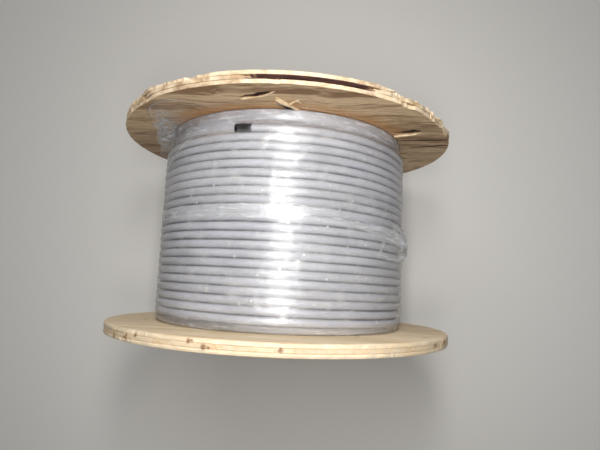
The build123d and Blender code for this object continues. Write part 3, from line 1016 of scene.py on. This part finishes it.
# Seen edge on, the film turns more opaque and is painted brown, as a painted reflection of its surroundings.
edge_on = add(tree, "LayerWeight", {"Blend": 0.3}).outputs["Facing"]
edge_on = add(tree, "MapRange", {0: edge_on, 1: 0.45, 2: 1.0, 4: 0.4}).outputs[0]
edge_reflection = add(tree, "Math", {0: edge_on, 1: 2.2}, operation="MULTIPLY", use_clamp=True).outputs[0]
tone = add(
    tree,
    "Mix",
    {MIX_FACTOR: edge_reflection, MIX_A: tone.outputs[0], MIX_B: colour("#6E6459")},
    data_type="RGBA",
)
cells = add(tree, "TexVoronoi", {"Vector": place, "Scale": 1 / PUCKER_SPACING}).outputs["Distance"]
pucker = add(tree, "MapRange", {0: cells, 1: GLINT_RADIUS / PUCKER_SPACING, 2: 0.0}).outputs[0]
raised = add(tree, "Math", {0: pucker, 1: folds}, operation="ADD").outputs[0]
bump = add(tree, "Bump", {"Height": raised, "Strength": 0.8, "Distance": FOLD_RELIEF})
# Opaque at each pucker's middle, so its coat's glint shows and a pale speck is painted there as a painted
# glint.
glint_speck = add(tree, "Math", {0: pucker, 1: 0.75}, operation="MULTIPLY").outputs[0]
taut = add(tree, "MapRange", {0: milk, 1: 0.0, 2: 0.07}).outputs[0]
alpha = add(tree, "Math", {0: milky, 1: fold}, operation="ADD").outputs[0]
alpha = add(tree, "Math", {0: alpha, 1: edge_on}, operation="ADD", use_clamp=True).outputs[0]
alpha = add(tree, "Math", {0: alpha, 1: glint_speck}, operation="ADD", use_clamp=True).outputs[0]
alpha = add(tree, "Math", {0: alpha, 1: taut}, operation="MULTIPLY").outputs[0]
shine = add(tree, "MapRange", {0: pucker, 3: 0.36, 4: 0.12})
tree.links.new(shine.outputs[0], shader.inputs["Coat Roughness"])
tree.links.new(alpha, shader.inputs["Alpha"])
tree.links.new(bump.outputs[0], shader.inputs["Normal"])
tree.links.new(tone.outputs[MIX_COLOUR], shader.inputs["Base Color"])
shader.inputs["Roughness"].default_value = 0.3
shader.inputs["Coat Weight"].default_value = 1
shader.inputs["Coat IOR"].default_value = 3.0
sleeve = finished("stretch_film_wrap", [film, skirt], clear_film, smooth=True)
wall = sleeve.modifiers.new("film_wall", "SOLIDIFY")
wall.thickness = FILM_THICKNESS
wall.offset = 0
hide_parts("stretch_film")

# Floor, light and camera
# A plain pale floor, seen from above as the photograph sees the drum. Two soft lamps light the drum all
# round, and a narrow strip overhead gives the film its bright column.

FLOOR_SIZE = 6
floor_mesh = bmesh.new()
bmesh.ops.create_grid(floor_mesh, x_segments=1, y_segments=1, size=FLOOR_SIZE)
floor_data = bpy.data.meshes.new("floor")
floor_mesh.to_mesh(floor_data)
floor_mesh.free()
floor = bpy.data.objects.new("floor", floor_data)
bpy.context.scene.collection.objects.link(floor)
pale = bpy.data.materials.new("pale_floor")
pale.use_nodes = True
pale.node_tree.nodes["Principled BSDF"].inputs["Base Color"].default_value = colour("#DAD7D2")
pale.node_tree.nodes["Principled BSDF"].inputs["Roughness"].default_value = 0.9
floor.data.materials.append(pale)


def soft_lamp(name, place, target, size, power):
    """Area lamp of a width and a length at a place, turned to a target."""
    data = bpy.data.lights.new(name, "AREA")
    data.shape = "RECTANGLE"
    data.size, data.size_y = size
    data.energy = power
    lamp = bpy.data.objects.new(name, data)
    bpy.context.scene.collection.objects.link(lamp)
    lamp.location = place
    lamp.rotation_mode = "QUATERNION"
    lamp.rotation_quaternion = (Vector(target) - Vector(place)).to_track_quat("-Z", "Y")


soft_lamp("key_softbox", (-0.5, 1.2, 1.3), drum_middle, (1.0, 1.0), 4.5)
soft_lamp("fill_softbox", (1.2, -1.0, 1.2), drum_middle, (1.2, 1.2), 1.0)
soft_lamp("top_strip", (0.04, 0.04, 0.64), (0.04, 0.04, 0), (0.09, 0.42), 2.8)
world = bpy.data.worlds.new("studio")
bpy.context.scene.world = world
world.use_nodes = True
world.node_tree.nodes["Background"].inputs[0].default_value = colour("#FFFFFF")
world.node_tree.nodes["Background"].inputs[1].default_value = 0.13

# The camera's place in metres and its turns in radians, fitted to the drum's outlines in the photograph.
CAMERA_PLACE = (0.0405, -0.0504, 0.5982)
CAMERA_YAW = -0.4067
CAMERA_PITCH = 1.4334
CAMERA_ROLL = -0.364
FOCAL_PIXELS = 466
PHOTO_WIDTH = 600
SENSOR = 36
forward = Vector((
    math.sin(CAMERA_YAW) * math.cos(CAMERA_PITCH),
    math.cos(CAMERA_YAW) * math.cos(CAMERA_PITCH),
    -math.sin(CAMERA_PITCH),
))
level = Vector((math.cos(CAMERA_YAW), -math.sin(CAMERA_YAW), 0))
overhead = level.cross(forward)
right = math.cos(CAMERA_ROLL) * level + math.sin(CAMERA_ROLL) * overhead
up = math.cos(CAMERA_ROLL) * overhead - math.sin(CAMERA_ROLL) * level
camera_data = bpy.data.cameras.new("camera")
camera_data.sensor_width = SENSOR
camera_data.lens = SENSOR * FOCAL_PIXELS / PHOTO_WIDTH
camera_data.clip_start = 0.01
camera = bpy.data.objects.new("camera", camera_data)
bpy.context.scene.collection.objects.link(camera)
camera.matrix_world = Matrix.Translation(CAMERA_PLACE) @ Matrix((right, up, -forward)).transposed().to_4x4()
bpy.context.scene.camera = camera
bpy.context.scene.view_settings.view_transform = "Standard"
